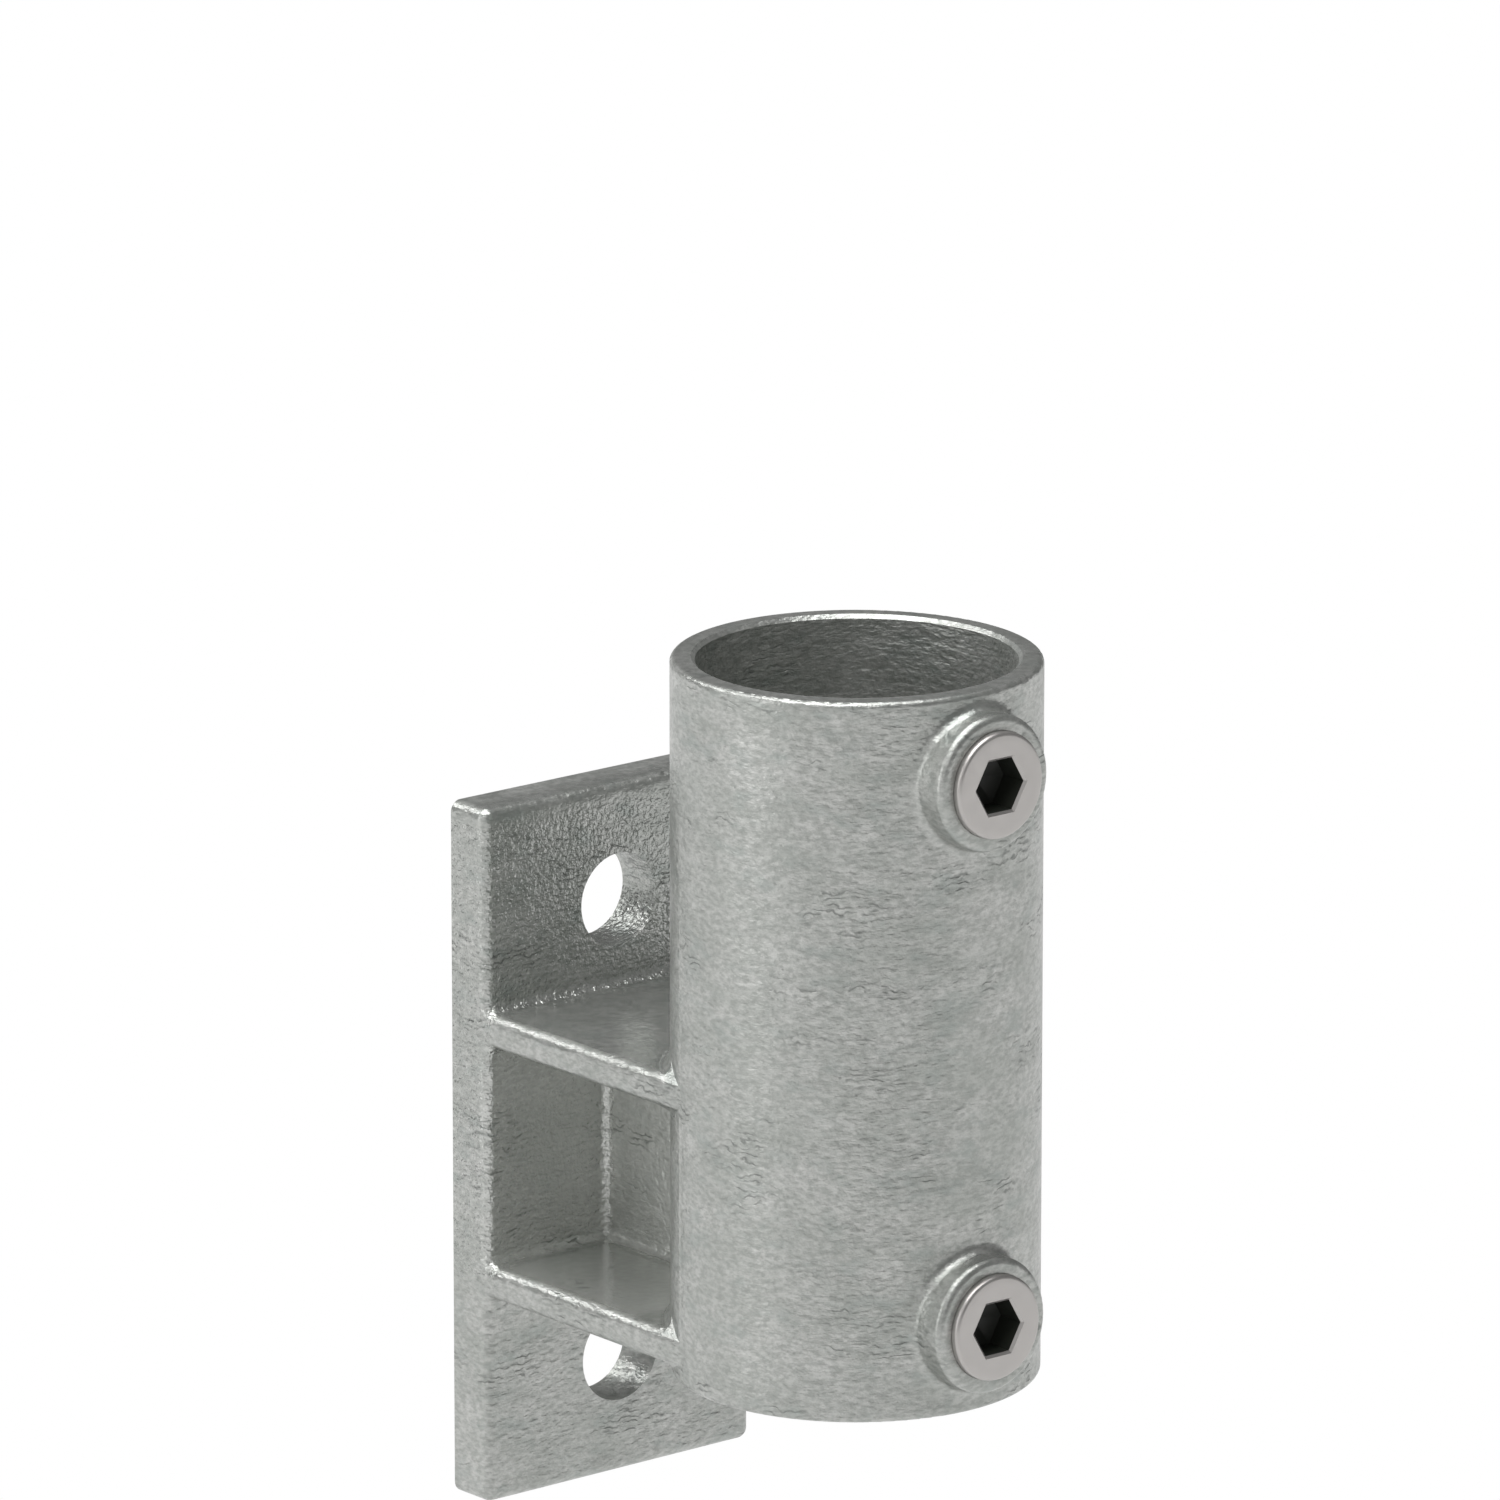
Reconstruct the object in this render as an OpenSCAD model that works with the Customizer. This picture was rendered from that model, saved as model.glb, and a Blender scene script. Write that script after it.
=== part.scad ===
// Wall bracket for an upright tube: one casting, made of a wall plate, two webs, a rib and a
// through socket with two bosses, and the two set screws that clamp the tube.
// The origin is on the wall face, midway between the bolt holes. The wall lies on +Y, the
// socket stands out towards -Y, and the tube runs along +Z.

/* [Tube socket] */
// Outside diameter of the tube that the socket takes
tube_d = 48.3; // [46:0.1:52]
// Gap between the tube and the bore, all round
tube_gap = 0.5; // [0.2:0.05:1]
// Thickness of the socket's wall
socket_wall = 3.85; // [3:0.05:6]
// Height of the socket
socket_h = 113.4; // [100:0.1:140]
// How far the socket reaches below the middle of the bolt holes
socket_below = 25.2; // [24.6:0.1:40]
// Distance from the wall face to the socket's axis
standoff = 66; // [60:0.5:90]
// Rounding of the socket's outer rims
rim_r = 1; // [0.4:0.1:1.4]
// Chamfer at both mouths of the bore
mouth_chamfer = 0.6; // [0.2:0.1:1]

/* [Wall plate] */
// Width of the plate and of the webs
plate_w = 53.4; // [48:0.1:54]
// Thickness of the plate
plate_t = 8.3; // [6:0.1:12]
// Height of the plate above the middle of the bolt holes
plate_up = 56; // [50:0.1:80]
// Height of the plate below the middle of the bolt holes
plate_down = 56.6; // [50:0.1:80]
// Diameter of the bolt holes
bolt_hole_d = 15; // [9:0.1:16]
// Distance between the two bolt holes
bolt_pitch = 74.4; // [68:0.1:80]

/* [Webs and rib] */
// Thickness of each web
web_t = 5.35; // [4:0.05:6]
// Clear height between the two webs
web_gap = 35.5; // [28:0.1:36]
// Height of the webs' middle above the middle of the bolt holes
web_mid = 0.2; // [-0.5:0.1:2]
// Thickness of the upright rib between the webs
rib_t = 5.5; // [4:0.1:10]
// Radius of the casting's inside corners
fillet_r = 1.8; // [0.8:0.1:2.4]
// Rounding of the outer edges of the plate and the webs
edge_r = 1.8; // [0.8:0.1:1.9]

/* [Bosses] */
// Diameter of the bosses that carry the set screws
boss_d = 21.4; // [20:0.1:22]
// How far a boss's face stands out from the socket
boss_proud = 4.05; // [3.6:0.05:8]
// Rounding of a boss's front edge
boss_r = 1.2; // [0.4:0.1:1.4]
// Radius of the blend between a boss and the socket
boss_fillet = 2; // [1.4:0.1:2]
// Depth of the upper screw's axis below the socket's top
upper_screw_drop = 13.5; // [13.5:0.1:30]
// Height of the lower screw's axis above the socket's bottom
lower_screw_rise = 14.5; // [13.5:0.1:30]

/* [Set screws] */
// Outside diameter of the screws' thread
screw_d = 16.6; // [14:0.1:17]
// Running gap between a screw and its tapped hole
thread_gap = 0.06; // [0.05:0.01:0.1]
// How far a screw's face stands out from its boss
screw_proud = 1.35; // [0.5:0.05:3]
// How far a screw's point is backed off behind the bore's wall
point_back = 0.3; // [0.2:0.05:1]
// Chamfer at both ends of a screw
screw_chamfer = 0.35; // [0.2:0.05:0.8]
// Size of the hexagon socket across its flats
hex_af = 8.1; // [6:0.1:10]
// Depth of the hexagon socket
hex_depth = 5; // [3:0.1:6]
// Diameter of the cup at the point
cup_d = 9; // [6:0.1:11]
// Depth of the cup at the point
cup_depth = 1.5; // [0.5:0.1:2]

/* [Hidden] */
$fn = 96;

cast_grey = [0.62, 0.63, 0.61];
screw_grey = [0.68, 0.66, 0.64];

// Depth to which a piece of the casting reaches into its neighbour
bury = 1.5;
// Extra length of a cut past the faces that it opens
past = 1;
// Room left above and beside the corners at the socket by the outline that ends them
clear_over = 0.2;
// Room left between the slanted ends of that outline and a web's round edges
clear_slant = 0.03;

bore_r = tube_d / 2 + tube_gap;
socket_r = bore_r + socket_wall;
socket_top = socket_h - socket_below;
plate_mid = (plate_up - plate_down) / 2;
plate_h = plate_up + plate_down;

web_bottom = web_mid - web_gap / 2 - web_t;
web_centres = [web_mid - (web_gap + web_t) / 2, web_mid + (web_gap + web_t) / 2];
// Radius of the corner under the lower web, limited by what is left above the socket's rim
low_fillet_r = min(fillet_r, socket_below + web_bottom - rim_r);

screw_heights = [lower_screw_rise - socket_below, socket_top - upper_screw_drop];
// Radius of the bosses' blends, limited by what is left between a boss and the nearer rim
blend_r = min(boss_fillet, min(lower_screw_rise, upper_screw_drop) - boss_d / 2 - rim_r);
boss_face = socket_r + boss_proud;
screw_face = boss_face + screw_proud;
screw_len = screw_face - bore_r - point_back;

// Steps round a boss, and across its blend
blend_turns = 60;
blend_steps = 6;
// How far a blend's edge runs on into the boss or the socket, as a share of one step
blend_tuck = 2;

// Rectangle with its middle at the origin and all four corners round
module round_rect(w, h, r) {
    square([w - 2 * r, h], center = true);
    square([w, h - 2 * r], center = true);
    for (x = [-1, 1], y = [-1, 1])
        translate([x * (w / 2 - r), y * (h / 2 - r)]) circle(r);
}

// Drawing in X and Z, run out from the wall between two distances
module out_from_wall(from, to) {
    translate([0, -from, 0]) rotate([90, 0, 0]) linear_extrude(to - from) children();
}

// Drawing in Y and Z, run across the bracket's width
module across(w) {
    rotate([90, 0, 90]) linear_extrude(w, center = true) children();
}

// What is left in a square inside corner beside the circle that rounds it.
// The corner is at the origin and opens towards side[0] in x and side[1] in y.
module corner(r, side) {
    scale([side[0], side[1]]) difference() {
        translate([-bury, -bury]) square(r + bury);
        translate([r, r]) circle(r);
    }
}

// Plate with sharp edges at the wall and round ones in front
module wall_plate() {
    corner_x = plate_w / 2 - edge_r;
    corner_z = plate_h / 2 - edge_r;
    translate([0, 0, plate_mid]) {
        out_from_wall(0, plate_t - edge_r) round_rect(plate_w, plate_h, edge_r);
        out_from_wall(0, plate_t) square([2 * corner_x, 2 * corner_z], center = true);
        for (x = [-1, 1]) translate([x * corner_x, edge_r - plate_t, 0]) {
            cylinder(h = 2 * corner_z, r = edge_r, center = true);
            for (z = [-1, 1]) translate([0, 0, z * corner_z]) sphere(edge_r);
        }
        for (z = [-1, 1]) translate([0, edge_r - plate_t, z * corner_z])
            rotate([0, 90, 0]) cylinder(h = 2 * corner_x, r = edge_r, center = true);
    }
}

module web(z) {
    translate([0, 0, z]) out_from_wall(plate_t - edge_r, standoff)
        round_rect(plate_w, web_t, edge_r);
}

// Inside corner between the plate and one face of a web. The round side edges of both run on
// round its ends, so what leaves it hollow is a spool: a cylinder that flares at both ends.
module plate_corner(face, up, r) {
    reach = r + edge_r;
    translate([0, -plate_t - r, face + up * r]) mirror([0, 0, up < 0 ? 1 : 0]) difference() {
        translate([-plate_w / 2, 0, -reach]) cube([plate_w, reach, reach]);
        rotate([0, 90, 0]) rotate_extrude() difference() {
            translate([0, -plate_w / 2 - past]) square([reach, plate_w + 2 * past]);
            translate([reach, 0]) {
                square([2 * edge_r, plate_w - 2 * edge_r], center = true);
                for (y = [-1, 1]) translate([0, y * (plate_w / 2 - edge_r)]) circle(edge_r);
            }
        }
    }
}

// Inside corner between the socket and one face of a web, which ends at the web's round edges
module socket_corner(z, up, r) {
    high = web_t / 2 + r + clear_over;
    wide = plate_w / 2 - clear_over;
    // The slanted ends just clear the middle of the web's round edges
    slant = (plate_w + web_t) / 2 - (2 - sqrt(2)) * edge_r + clear_slant;
    intersection() {
        translate([0, -standoff, 0]) rotate_extrude() translate([socket_r, z + up * web_t / 2])
            corner(r, [1, up]);
        translate([0, 0, z]) out_from_wall(plate_t, standoff) polygon([
            [-wide, slant - wide], [high - slant, high], [slant - high, high], [wide, slant - wide],
            [wide, wide - slant], [slant - high, -high], [high - slant, -high], [-wide, wide - slant],
        ]);
    }
}

// Upright rib in the middle, with its inside corners at the plate, the socket and the webs
module rib() {
    out = standoff - socket_r;
    side = rib_t / 2;
    ball_x = side + fillet_r;
    ball_y = sqrt(pow(socket_r + fillet_r, 2) - pow(ball_x, 2)) - standoff;
    translate([0, 0, web_mid]) {
        translate([-side, -out - bury, -web_gap / 2 - bury])
            cube([rib_t, out - plate_t + 2 * bury, web_gap + 2 * bury]);
        linear_extrude(web_gap + 2 * bury, center = true) for (x = [-1, 1]) {
            translate([x * side, -plate_t]) corner(fillet_r, [x, -1]);
            difference() {
                translate([x * side, ball_y]) mirror([x < 0 ? 1 : 0, 0])
                    translate([-bury, -fillet_r - bury]) square([fillet_r + bury, fillet_r + bury]);
                translate([x * ball_x, ball_y]) circle(fillet_r);
            }
        }
        for (x = [-1, 1], z = [-1, 1]) out_from_wall(plate_t - bury, out + bury)
            translate([x * side, z * web_gap / 2]) corner(fillet_r, [x, -z]);
    }
}

// Outside of the socket, with round rims
module socket_outside() {
    translate([0, -standoff, 0]) rotate_extrude() {
        translate([0, -socket_below]) square([socket_r - rim_r, socket_h]);
        translate([0, rim_r - socket_below]) square([socket_r, socket_h - 2 * rim_r]);
        for (z = [rim_r - socket_below, socket_top - rim_r])
            translate([socket_r - rim_r, z]) circle(rim_r);
    }
}

// Straight part of a boss, with a round front edge
module boss(z) {
    translate([0, -standoff, z]) rotate([90, 0, 0]) rotate_extrude() {
        translate([0, bore_r]) square([boss_d / 2 - boss_r, boss_face - bore_r]);
        translate([0, bore_r]) square([boss_d / 2, boss_face - boss_r - bore_r]);
        translate([boss_d / 2 - boss_r, boss_face - boss_r]) circle(boss_r);
    }
}

// Blend between a boss and the socket: the surface under a ball that rolls round the boss
// and touches both. ball() is the ball's middle and on_ball() a point of its touching arc.
function ball(a) = let (x = (boss_d / 2 + blend_r) * cos(a))
    [x, -sqrt(pow(socket_r + blend_r, 2) - x * x), (boss_d / 2 + blend_r) * sin(a)];
function to_boss(a) = [-cos(a), 0, -sin(a)];
function to_socket(a) = -[ball(a)[0], ball(a)[1], 0] / (socket_r + blend_r);
function on_ball(a, t) = let (sweep = acos(to_boss(a) * to_socket(a)))
    ball(a) + blend_r / sin(sweep)
        * (sin((1 - t) * sweep) * to_boss(a) + sin(t * sweep) * to_socket(a));
// A point inside the boss and under the socket's surface
function under(a) = let (r = boss_d / 2 - bury, x = r * cos(a))
    [x, bury - sqrt(pow(socket_r, 2) - x * x), r * sin(a)];
function blend_section(a) = let (step = 1 / blend_steps) [
    on_ball(a, 0) + blend_tuck * (on_ball(a, 0) - on_ball(a, step)),
    for (k = [1 : blend_steps - 1]) on_ball(a, k * step),
    on_ball(a, 1) + blend_tuck * (on_ball(a, 1) - on_ball(a, 1 - step)),
    under(a),
];

module boss_blend(z) {
    sections = [for (i = [0 : blend_turns - 1]) blend_section(360 * i / blend_turns)];
    n = len(sections[0]);
    faces = [for (i = [0 : blend_turns - 1], k = [0 : n - 1])
        let (here = i * n, next = ((i + 1) % blend_turns) * n, after = (k + 1) % n)
            each [[here + k, next + k, here + after], [here + after, next + k, next + after]]];
    translate([0, -standoff, 0]) intersection() {
        translate([0, 0, z]) polyhedron([for (s = sections) each s], faces);
        // The blend's tucked edge ends where the socket's rims turn round
        translate([0, 0, rim_r - socket_below]) cylinder(h = socket_h - 2 * rim_r, r = boss_face);
    }
}

// Bore, bolt holes and tapped holes
module openings() {
    translate([0, -standoff, 0]) {
        translate([0, 0, -socket_below - past]) cylinder(h = socket_h + 2 * past, r = bore_r);
        translate([0, 0, -socket_below - past])
            cylinder(h = mouth_chamfer + past, r1 = bore_r + mouth_chamfer + past, r2 = bore_r);
        translate([0, 0, socket_top - mouth_chamfer])
            cylinder(h = mouth_chamfer + past, r1 = bore_r, r2 = bore_r + mouth_chamfer + past);
        for (z = screw_heights) translate([0, 0, z]) rotate([90, 0, 0])
            cylinder(h = boss_face + past, r = screw_d / 2 + thread_gap);
    }
    for (z = [-1, 1]) translate([0, past, z * bolt_pitch / 2])
        rotate([90, 0, 0]) cylinder(h = plate_t + 2 * past, d = bolt_hole_d);
}

module bracket_body() {
    color(cast_grey) difference() {
        union() {
            wall_plate();
            for (z = web_centres) web(z);
            for (z = web_centres, up = [-1, 1]) {
                r = (z < web_mid && up < 0) ? low_fillet_r : fillet_r;
                plate_corner(z + up * web_t / 2, up, r);
                socket_corner(z, up, r);
            }
            rib();
            socket_outside();
            for (z = screw_heights) {
                boss(z);
                boss_blend(z);
            }
        }
        openings();
    }
}

// Set screw with a hexagon socket in its face and a cup at its point
module set_screw(z) {
    r = screw_d / 2;
    translate([0, -standoff, z]) rotate([90, 0, 0]) translate([0, 0, screw_face - screw_len])
        difference() {
            rotate_extrude() polygon([
                [0, 0],
                [r - screw_chamfer, 0],
                [r, screw_chamfer],
                [r, screw_len - screw_chamfer],
                [r - screw_chamfer, screw_len],
                [0, screw_len],
            ]);
            translate([0, 0, screw_len - hex_depth]) linear_extrude(hex_depth + past)
                circle(d = hex_af / cos(30), $fn = 6);
            translate([0, 0, -past])
                cylinder(h = cup_depth + past, d1 = cup_d * (1 + past / cup_depth), d2 = 0);
        }
}

module set_screws() {
    color(screw_grey) for (z = screw_heights) set_screw(z);
}

bracket_body();
set_screws();
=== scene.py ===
import math

import bmesh
import bpy
from mathutils import Matrix, Vector


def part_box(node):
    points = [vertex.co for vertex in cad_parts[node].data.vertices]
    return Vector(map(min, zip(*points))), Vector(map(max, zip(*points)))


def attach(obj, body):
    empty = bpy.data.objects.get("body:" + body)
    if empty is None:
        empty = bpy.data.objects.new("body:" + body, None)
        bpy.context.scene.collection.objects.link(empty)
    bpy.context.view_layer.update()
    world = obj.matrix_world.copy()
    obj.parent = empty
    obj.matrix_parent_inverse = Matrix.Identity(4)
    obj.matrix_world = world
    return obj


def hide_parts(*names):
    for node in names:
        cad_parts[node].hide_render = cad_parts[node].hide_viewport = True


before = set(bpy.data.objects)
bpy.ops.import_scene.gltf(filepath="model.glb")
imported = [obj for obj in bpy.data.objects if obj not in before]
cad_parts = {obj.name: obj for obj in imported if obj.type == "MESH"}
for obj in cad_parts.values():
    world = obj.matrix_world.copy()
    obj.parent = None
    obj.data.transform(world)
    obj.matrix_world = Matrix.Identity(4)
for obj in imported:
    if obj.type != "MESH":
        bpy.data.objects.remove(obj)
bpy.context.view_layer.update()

MM = 0.001

# Set screws in millimetres, at the frame's sizes and with the thread that the frame leaves out
SCREW_R = 8.3
SCREW_LEN = 8.95
HEX_AF = 8.1
HEX_DEPTH = 5
CUP_R = 4.5
CUP_DEPTH = 1.5
COLLAR = 1.3
POINT_CHAMFER = 0.9
THREAD_PITCH = 1.34
THREAD_DEPTH = 0.8


# Camera

def add_camera():
    """Camera at the photograph's viewpoint: a long lens that looks down a little from the left."""
    place = Vector((-1278.4, -1590.2, 609.3)) * MM
    azimuth, elevation = -39.52, 15.08
    focal_px, frame_px, sensor = 13536, 1500, 36
    data = bpy.data.cameras.new("camera")
    data.sensor_width = sensor
    data.lens = sensor * focal_px / frame_px
    data.clip_end = 20
    camera = bpy.data.objects.new("camera", data)
    camera.location = place
    camera.rotation_euler = (math.radians(90 - elevation), 0, math.radians(azimuth))
    bpy.context.scene.collection.objects.link(camera)
    bpy.context.scene.camera = camera


# Materials

class Material:
    """A node material with short calls to add and join its nodes."""

    def __init__(self, name):
        self.material = bpy.data.materials.new(name)
        self.material.use_nodes = True
        self.tree = self.material.node_tree
        self.shader = self.tree.nodes["Principled BSDF"]

    def node(self, kind, **values):
        """A new node of this kind, with its own settings given by name."""
        node = self.tree.nodes.new("ShaderNode" + kind)
        for name, value in values.items():
            setattr(node, name, value)
        return node

    def join(self, output, socket):
        self.tree.links.new(output, socket)

    def place(self, squeeze=(1, 1, 1), shift=(0, 0, 0)):
        """The piece's own coordinates in metres, squeezed and shifted for a pattern."""
        coordinates = self.node("TexCoord")
        mapping = self.node("Mapping")
        mapping.inputs["Scale"].default_value = squeeze
        mapping.inputs["Location"].default_value = shift
        self.join(coordinates.outputs["Object"], mapping.inputs["Vector"])
        return mapping.outputs["Vector"]

    def noise(self, where, size_mm, detail=3, rough=0.5, twist=0):
        """Noise whose features are about size_mm across."""
        node = self.node("TexNoise")
        self.join(where, node.inputs["Vector"])
        node.inputs["Scale"].default_value = 1 / (size_mm * MM)
        node.inputs["Detail"].default_value = detail
        node.inputs["Roughness"].default_value = rough
        node.inputs["Distortion"].default_value = twist
        return node.outputs["Fac"]

    def level_lines(self, where, apart_mm, twist):
        """Waves that run level, about apart_mm from crest to crest, and wander by twist."""
        apart_at_scale_1 = math.pi / 10
        node = self.node("TexWave", bands_direction="Z")
        self.join(where, node.inputs["Vector"])
        node.inputs["Scale"].default_value = apart_at_scale_1 / (apart_mm * MM)
        node.inputs["Distortion"].default_value = twist
        node.inputs["Detail"].default_value = 2
        node.inputs["Detail Scale"].default_value = 1.6
        return node.outputs["Fac"]

    def ramp(self, fac, low, high, start=0.0, end=1.0, soft=False):
        """A value that goes from start to end while fac goes from low to high, and is flat beyond."""
        node = self.node("MapRange", interpolation_type="SMOOTHSTEP" if soft else "LINEAR")
        for name, value in (("From Min", low), ("From Max", high), ("To Min", start), ("To Max", end)):
            node.inputs[name].default_value = value
        self.join(fac, node.inputs["Value"])
        return node.outputs["Result"]

    def within(self, value, low_mm, high_mm, soft_mm):
        """1 where value is between low_mm and high_mm, and 0 beyond a soft edge on either side."""
        rise = self.ramp(value, (low_mm - soft_mm) * MM, low_mm * MM)
        fall = self.ramp(value, high_mm * MM, (high_mm + soft_mm) * MM, 1.0, 0.0)
        return self.times(rise, fall)

    def times(self, product, *others):
        """All the sources or numbers multiplied together."""
        for other in others:
            product = self.maths("MULTIPLY", product, other)
        return product

    def maths(self, kind, a, b):
        """Two sources or numbers put together in one Math node."""
        node = self.node("Math", operation=kind)
        for value, socket in ((a, node.inputs[0]), (b, node.inputs[1])):
            if isinstance(value, (int, float)):
                socket.default_value = value
            else:
                self.join(value, socket)
        return node.outputs["Value"]

    def mix(self, fac, a, b):
        """Colour a where fac is 0 and b where it is 1."""
        node = self.node("Mix", data_type="RGBA")
        colour_a, colour_b, colour_out = node.inputs[6], node.inputs[7], node.outputs[2]
        self.join(fac, node.inputs["Factor"])
        for value, socket in ((a, colour_a), (b, colour_b)):
            if isinstance(value, tuple):
                socket.default_value = (*value, 1)
            else:
                self.join(value, socket)
        return colour_out

    def bump(self, height, depth_mm, below=None, strength=None):
        """Relief depth_mm deep from height, on top of the relief below it."""
        node = self.node("Bump")
        node.inputs["Distance"].default_value = depth_mm * MM
        if strength is not None:
            self.join(strength, node.inputs["Strength"])
        self.join(height, node.inputs["Height"])
        if below is not None:
            self.join(below, node.inputs["Normal"])
        return node.outputs["Normal"]

    def set(self, **values):
        """Values for the shader's own inputs, named with _ for a space."""
        for name, value in values.items():
            self.shader.inputs[name.replace("_", " ")].default_value = value

    def feed(self, **sources):
        """Patterns for the shader's inputs, named as in set."""
        for name, source in sources.items():
            self.join(source, self.shader.inputs[name.replace("_", " ")])


def zinc_folds(m, level):
    """1 on the thin level folds where the zinc ran and set. They are broken up and lie in clusters."""
    waves = m.level_lines(m.place(squeeze=(0.8, 0.8, 1)), 1.1, 9)
    lines = m.ramp(waves, 0.6, 1.0)
    breaks = m.ramp(m.noise(level, 3.4, detail=2), 0.44, 0.6)
    clusters = m.ramp(m.noise(level, 19, detail=3, rough=0.5), 0.53, 0.63, soft=True)
    return m.times(lines, breaks, clusters)


def zinc_tone(m, level, folds, pocket_painted_light):
    """Clouds of lighter and darker zinc, with fine specks, green-grey stains, dark folds and painted
    light in the pocket between the webs.
    """
    clouds = m.ramp(m.noise(level, 12, detail=4, rough=0.62), 0.35, 0.65)
    specks = m.ramp(m.noise(level, 1.4, detail=3, rough=0.65), 0.38, 0.62)
    stains = m.ramp(m.noise(level, 7, detail=3, rough=0.6), 0.54, 0.72)
    tone = m.mix(clouds, (0.47, 0.485, 0.46), (0.59, 0.595, 0.575))
    for amount, share, colour in (
        (specks, 0.65, (0.31, 0.325, 0.305)),
        (stains, 0.55, (0.35, 0.385, 0.365)),
        # Painted light: the pocket between the webs is lightened, standing in for the light that
        # bounces in there
        (pocket_painted_light, 0.38, (0.8, 0.81, 0.78)),
        (folds, 0.6, (0.15, 0.16, 0.15)),
    ):
        tone = m.mix(m.times(amount, share), tone, colour)
    return tone


def zinc_relief(m, even, level, folds, pebbled, strength):
    """Soft lumps, a crumpled skin, a level grain that comes and goes, and pebbles, cut by the folds."""
    lumps = m.noise(level, 9, detail=2)
    crumple = m.noise(m.place(squeeze=(1, 1, 1.3)), 2.8, detail=3, rough=0.6, twist=0.5)
    grain = m.noise(m.place(squeeze=(1, 1, 2.8)), 2.2, detail=2, rough=0.55)
    grain_share = m.ramp(m.noise(even, 11, detail=2), 0.35, 0.6, 0.5, 1.0)
    pebbles = m.noise(even, 0.75, detail=2)
    pebble_share = m.ramp(pebbled, 0, 1, 0.35, 1.0)
    normal = None
    for height, depth_mm in (
        (lumps, 0.24),
        (crumple, 0.14),
        (m.times(grain, grain_share), 0.22),
        (m.times(pebbles, pebble_share), 0.32),
        (m.times(folds, -1.0), 0.07),
    ):
        normal = m.bump(height, depth_mm, normal, strength)
    return normal


def galvanised_casting():
    """Hot-dipped zinc on cast iron, with painted light that lightens the pocket between the webs, and
    pebbled on the plate.

    It is glossier and smoother on faces that look up, which the mesh marks, and smooth on the bosses.
    """
    m = Material("galvanised_casting")
    m.set(Metallic=0.72)
    even = m.place()
    level = m.place(squeeze=(1, 1, 2), shift=(0.08, 0.21, 0.21))
    folds = zinc_folds(m, level)

    # Parts of the casting whose zinc differs, and the pocket whose colour carries painted light
    axes = m.node("SeparateXYZ")
    m.join(even, axes.inputs["Vector"])
    y, z = axes.outputs["Y"], axes.outputs["Z"]
    plate_front, socket_side, web_inside = -8.3, -42, 17.6
    between_webs = m.within(z, -web_inside, web_inside, 0.8)
    # Painted light: mask of the pocket between the webs, where the colour is lightened
    pocket_painted_light = m.times(m.within(y, socket_side, plate_front, 1.5), between_webs)
    on_plate = m.ramp(y, -12 * MM, -9 * MM)
    above_lower_web = m.ramp(z, -30 * MM, -15 * MM)
    below_top_edge = m.ramp(z, 52 * MM, 54.5 * MM, 1.0, 0.0)
    pebbled = m.times(on_plate, above_lower_web, below_top_edge)
    upward = m.node("Attribute", attribute_name="upward").outputs["Fac"]
    facing_up, facing_straight_up = 0.85, 0.99

    m.feed(Base_Color=zinc_tone(m, level, folds, pocket_painted_light))

    dull = m.ramp(m.noise(level, 8, detail=4), 0.3, 0.7, 0.31, 0.42)
    pebbled_gloss = m.ramp(pebbled, 0, 1, 1.0, 0.65)
    upward_gloss = m.ramp(upward, facing_up, facing_straight_up, 1.0, 0.5)
    m.feed(Roughness=m.times(dull, pebbled_gloss, upward_gloss))

    upward_relief = m.ramp(upward, facing_up, facing_straight_up, 1.0, 0.3)
    boss_relief = m.ramp(y, -96 * MM, -87 * MM, 0.5, 1.0)
    strength = m.times(upward_relief, boss_relief)
    m.feed(Normal=zinc_relief(m, even, level, folds, pebbled, strength))
    return m.material


def screw_steel():
    """Zinc-plated turned steel, with its hexagon recess painted near-black as shade where the mesh says
    so.
    """
    m = Material("screw_steel")
    recess = m.node("Attribute", attribute_name="recess").outputs["Fac"]
    # Painted shade: the recess faces are near-black and not metallic, standing in for the dark of the
    # deep hexagon hole
    m.feed(Metallic=m.ramp(recess, 0, 1, 0.8, 0.0))
    clouds = m.noise(m.place(), 3, detail=4, rough=0.6)
    face = m.mix(clouds, (0.5, 0.48, 0.462), (0.54, 0.521, 0.507))
    m.feed(Base_Color=m.mix(recess, face, (0.03, 0.033, 0.027)))
    m.feed(Roughness=m.ramp(m.noise(m.place(), 1.5, detail=3), 0.3, 0.7, 0.32, 0.42))
    turning_marks = m.noise(m.place(), 0.5, detail=3)
    m.feed(Normal=m.bump(turning_marks, 0.004))
    return m.material


# Casting

def add_casting():
    """The bracket's body as one merged skin, whose blends are shaded round and whose edges stay sharp.

    Its upward attribute says how far the skin looks up, for the zinc that settled on level faces.
    """
    merge_within = 0.004 * MM
    sharp_from = math.radians(32)
    bm = bmesh.new()
    bm.from_mesh(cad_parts["bracket_body"].data)
    bmesh.ops.remove_doubles(bm, verts=bm.verts, dist=merge_within)
    bmesh.ops.dissolve_degenerate(bm, edges=bm.edges, dist=merge_within / 2)
    upward = bm.verts.layers.float.new("upward")
    bm.normal_update()
    for vert in bm.verts:
        vert[upward] = max(0, vert.normal.z)
    mesh = bpy.data.meshes.new("casting")
    bm.to_mesh(mesh)
    bm.free()
    # The normals that came with the loose triangles don't fit the merged skin
    mesh.attributes.remove(mesh.attributes["custom_normal"])
    mesh.materials.append(galvanised_casting())
    mesh.shade_smooth()
    mesh.set_sharp_from_angle(angle=sharp_from)
    casting = bpy.data.objects.new("casting", mesh)
    bpy.context.scene.collection.objects.link(casting)
    rounding = casting.modifiers.new("rounding", "WEIGHTED_NORMAL")
    rounding.keep_sharp = True
    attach(casting, "root")
    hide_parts("bracket_body")


# Set screws

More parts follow.
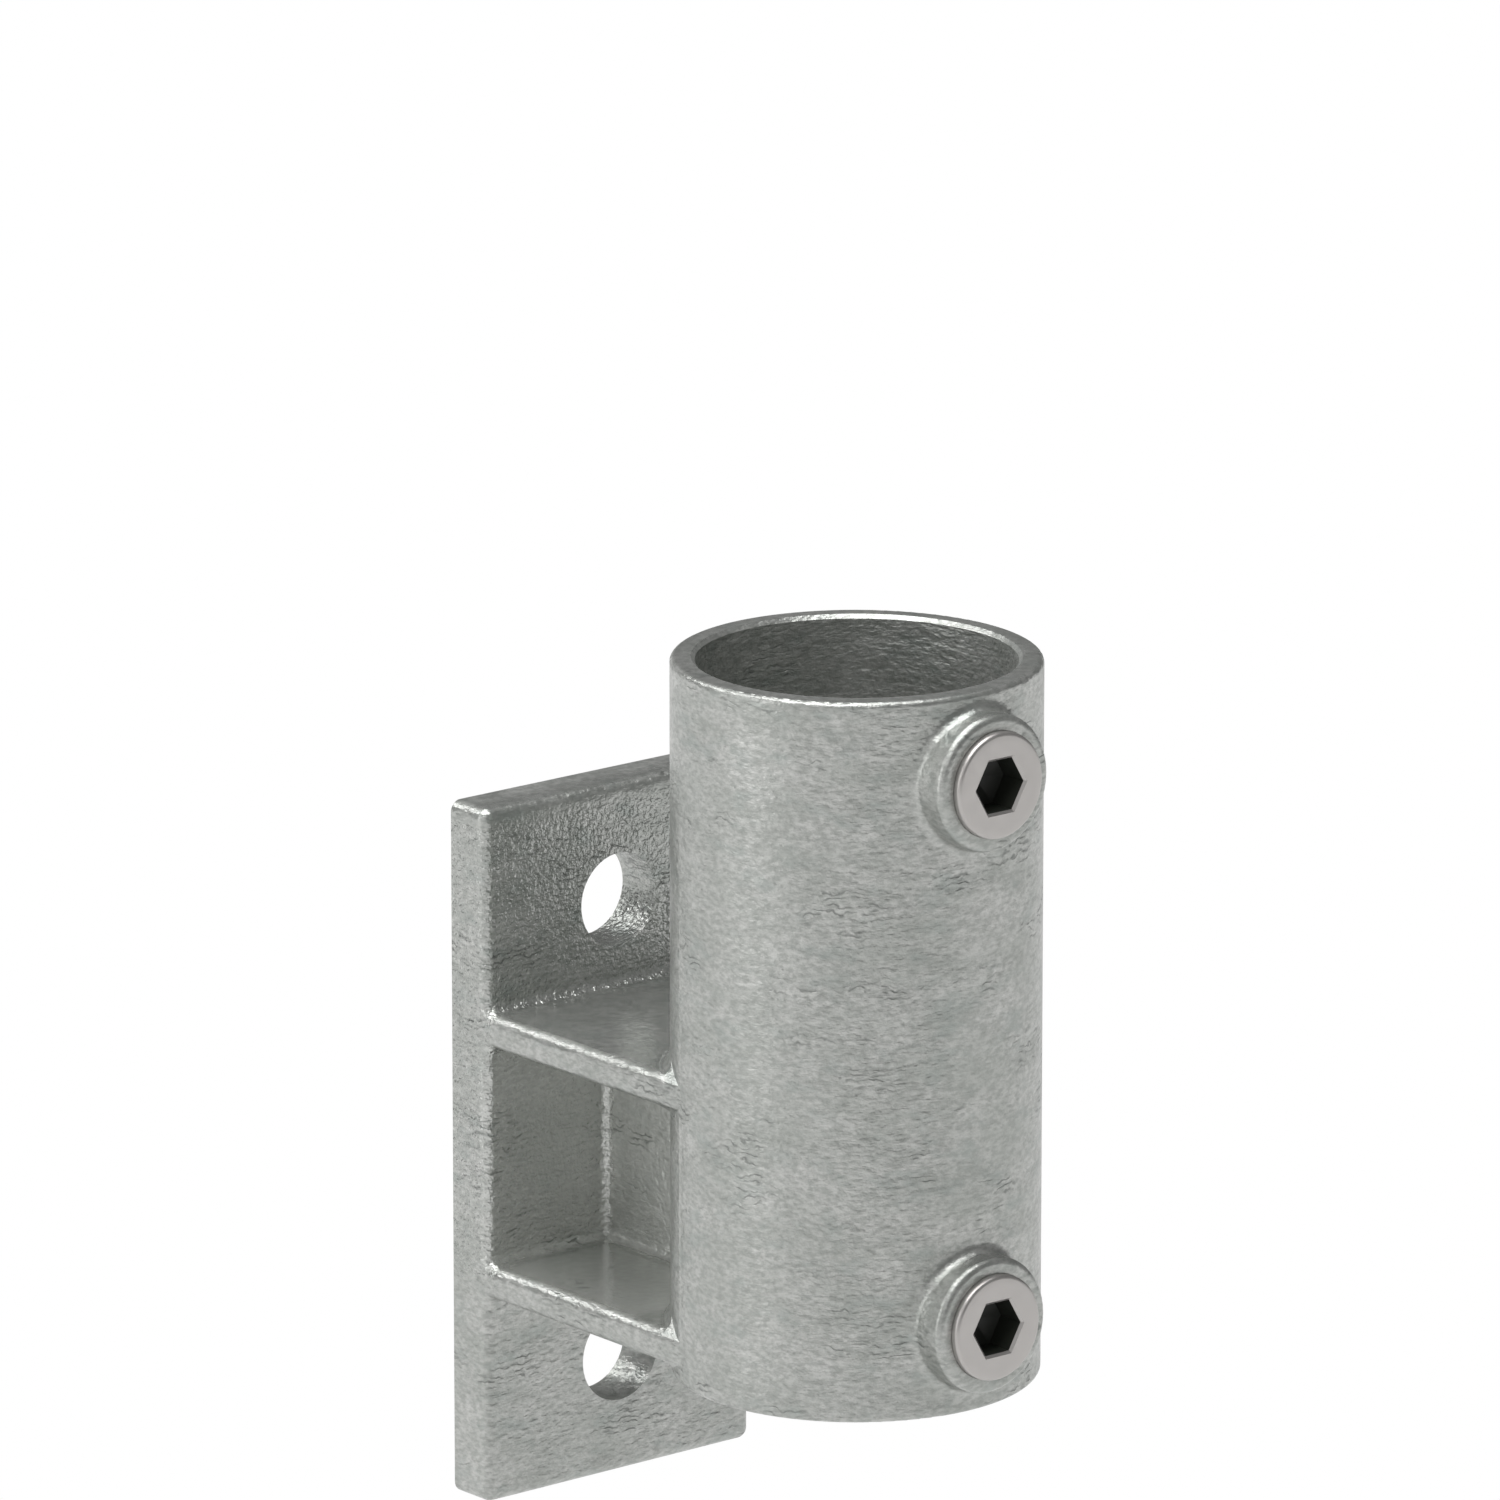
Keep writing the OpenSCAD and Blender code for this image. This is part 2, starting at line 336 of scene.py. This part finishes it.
def hexagon_reach(af, turn):
    """Distance from the axis to the side of a hexagon, with corners at 0, 60, 120 degrees and on."""
    sixth = math.tau / 6
    return af / 2 / math.cos(turn % sixth - sixth / 2)


def screw_levels():
    """Rings of the screw from the bottom of its recess over the face to its point.

    Each gives the size across flats, the radius, the height and whether the skin up to it is painted
    dark as shade.
    A ring is a hexagon where the size across flats isn't 0.
    """
    mouth_bevel = 0.4
    face_ring_r = 6.775
    edge_r = 0.6
    edge_steps = 4
    rings_per_pitch = 12
    cup_centre_r = 0.2
    levels = [
        (HEX_AF, 0, SCREW_LEN - HEX_DEPTH, True),
        (HEX_AF, 0, SCREW_LEN - mouth_bevel, True),
        (HEX_AF + 2 * mouth_bevel, 0, SCREW_LEN, False),
        (0, face_ring_r, SCREW_LEN, False),
    ]
    for i in range(edge_steps + 1):
        turn = math.radians(90 - 90 * i / edge_steps)
        levels.append((0, SCREW_R - edge_r + edge_r * math.cos(turn),
                       SCREW_LEN - edge_r + edge_r * math.sin(turn), False))
    thread_top = SCREW_LEN - COLLAR
    thread_len = thread_top - POINT_CHAMFER
    rings = round(thread_len / THREAD_PITCH * rings_per_pitch)
    for i in range(rings + 1):
        levels.append((0, SCREW_R, thread_top - thread_len * i / rings, False))
    levels += [
        (0, SCREW_R - THREAD_DEPTH, 0, False),
        (0, CUP_R, 0, False),
        (0, cup_centre_r, CUP_DEPTH, False),
    ]
    return levels


def thread_groove(turn, height):
    """How deep the helical thread is cut at one place on the screw's side.

    Phase is the place across one pitch from 0 to 1, and the groove's middle is at 0.5.
    """
    top = SCREW_LEN - COLLAR
    if not POINT_CHAMFER <= height <= top:
        return 0
    half_groove = 0.44
    phase = (height / THREAD_PITCH - turn / math.tau) % 1
    fade = min(1, (top - height) / (THREAD_PITCH / 2))
    return THREAD_DEPTH * fade * max(0, 1 - abs(phase - 0.5) / half_groove)


def add_set_screw(name, height, face_y, material):
    """Set screw with its axis along Y, its face towards -Y at face_y and its middle at height.

    It grows ring by ring from the drill point under its recess. The recess layer marks its faces that
    are painted dark as shade.
    """
    sides, drill_r, drill_depth = 96, 0.5, 1
    sharp_from = math.radians(35)
    bm = bmesh.new()
    # The recess layer marks the faces that the screw's material paints near-black as shade
    recess = bm.faces.layers.float.new("recess")
    drill = bmesh.ops.create_circle(bm, cap_ends=True, cap_tris=True, segments=sides, radius=drill_r)
    bmesh.ops.translate(bm, verts=drill["verts"], vec=(0, 0, SCREW_LEN - HEX_DEPTH - drill_depth))
    for face in bm.faces:
        face[recess] = 1
    edges = [e for e in bm.edges if e.is_boundary]
    for af, r, z, dark in screw_levels():
        made = bmesh.ops.extrude_edge_only(bm, edges=edges)["geom"]
        for item in made:
            if isinstance(item, bmesh.types.BMFace):
                item[recess] = dark
            elif isinstance(item, bmesh.types.BMVert):
                turn = math.atan2(item.co.y, item.co.x)
                reach = hexagon_reach(af, turn) if af else r
                if r == SCREW_R:
                    reach -= thread_groove(turn, z)
                item.co = Vector((reach * math.cos(turn), reach * math.sin(turn), z))
        edges = [e for e in made if isinstance(e, bmesh.types.BMEdge) and e.is_boundary]
    bmesh.ops.edgeloop_fill(bm, edges=edges)
    bmesh.ops.recalc_face_normals(bm, faces=bm.faces)
    lay_level = Matrix.Rotation(math.pi / 2, 4, "X")
    in_boss = Matrix.Translation((0, face_y / MM + SCREW_LEN, height / MM)) @ lay_level
    bmesh.ops.transform(bm, matrix=Matrix.Scale(MM, 4) @ in_boss, verts=bm.verts)
    mesh = bpy.data.meshes.new(name)
    bm.to_mesh(mesh)
    bm.free()
    mesh.materials.append(material)
    mesh.shade_smooth()
    mesh.set_sharp_from_angle(angle=sharp_from)
    screw = bpy.data.objects.new(name, mesh)
    bpy.context.scene.collection.objects.link(screw)
    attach(screw, "root")
    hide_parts("set_screws")


def add_set_screws():
    """The two screws, which are the lowest and the highest piece of the frame's set_screws."""
    low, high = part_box("set_screws")
    material = screw_steel()
    screw_r = SCREW_R * MM
    add_set_screw("lower_set_screw", low[2] + screw_r, low[1], material)
    add_set_screw("upper_set_screw", high[2] - screw_r, low[1], material)


# Studio

def pale_floor():
    """White for the camera and in reflections, and a plain pale floor for the light."""
    m = Material("pale_floor")
    m.set(Base_Color=(0.8, 0.8, 0.8, 1), Roughness=1.0)
    glow = m.node("Emission")
    ray = m.node("LightPath")
    seen = m.maths("MAXIMUM", ray.outputs["Is Camera Ray"], ray.outputs["Is Glossy Ray"])
    seen = m.maths("MAXIMUM", seen, ray.outputs["Is Transmission Ray"])
    both = m.node("MixShader")
    m.join(seen, both.inputs[0])
    m.join(m.shader.outputs["BSDF"], both.inputs[1])
    m.join(glow.outputs["Emission"], both.inputs[2])
    m.join(both.outputs["Shader"], m.tree.nodes["Material Output"].inputs["Surface"])
    return m.material


def add_floor():
    half_width, height = 8, -0.35
    bm = bmesh.new()
    bmesh.ops.create_grid(bm, x_segments=1, y_segments=1, size=half_width)
    bmesh.ops.translate(bm, verts=bm.verts, vec=(0, 0, height))
    mesh = bpy.data.meshes.new("floor")
    bm.to_mesh(mesh)
    bm.free()
    floor = bpy.data.objects.new("floor", mesh)
    mesh.materials.append(pale_floor())
    bpy.context.scene.collection.objects.link(floor)


def add_softbox(name, place, size, brightness):
    """Square lamp that faces the bracket. Brightness is how it shows in a mirror, with white as 1."""
    data = bpy.data.lights.new(name, "AREA")
    data.shape = "SQUARE"
    data.size = size
    data.energy = brightness * math.pi * size * size
    lamp = bpy.data.objects.new(name, data)
    lamp.location = place
    lamp.rotation_euler = (-Vector(place)).to_track_quat("-Z", "Y").to_euler()
    bpy.context.scene.collection.objects.link(lamp)


def add_studio():
    """Pale floor, dim surroundings and five soft lamps."""
    dim = (0.12, 0.12, 0.12, 1)
    world = bpy.data.worlds.new("studio")
    world.use_nodes = True
    world.node_tree.nodes["Background"].inputs["Color"].default_value = dim
    bpy.context.scene.world = world
    add_floor()
    add_softbox("overhead_softbox", (-0.25, 0, 1.3), 1.3, 4)
    add_softbox("back_softbox", (-0.65, 1.35, 1.15), 0.6, 5)
    add_softbox("right_softbox", (1.5, -1.5, 0.55), 1.8, 0.1)
    add_softbox("left_softbox", (-1.75, 0.45, 0.5), 1.2, 1.7)
    add_softbox("front_softbox", (-1.8, -1.3, 1.0), 1.5, 0.7)


add_camera()
add_studio()
add_casting()
add_set_screws()
bpy.context.scene.view_settings.view_transform = "Standard"
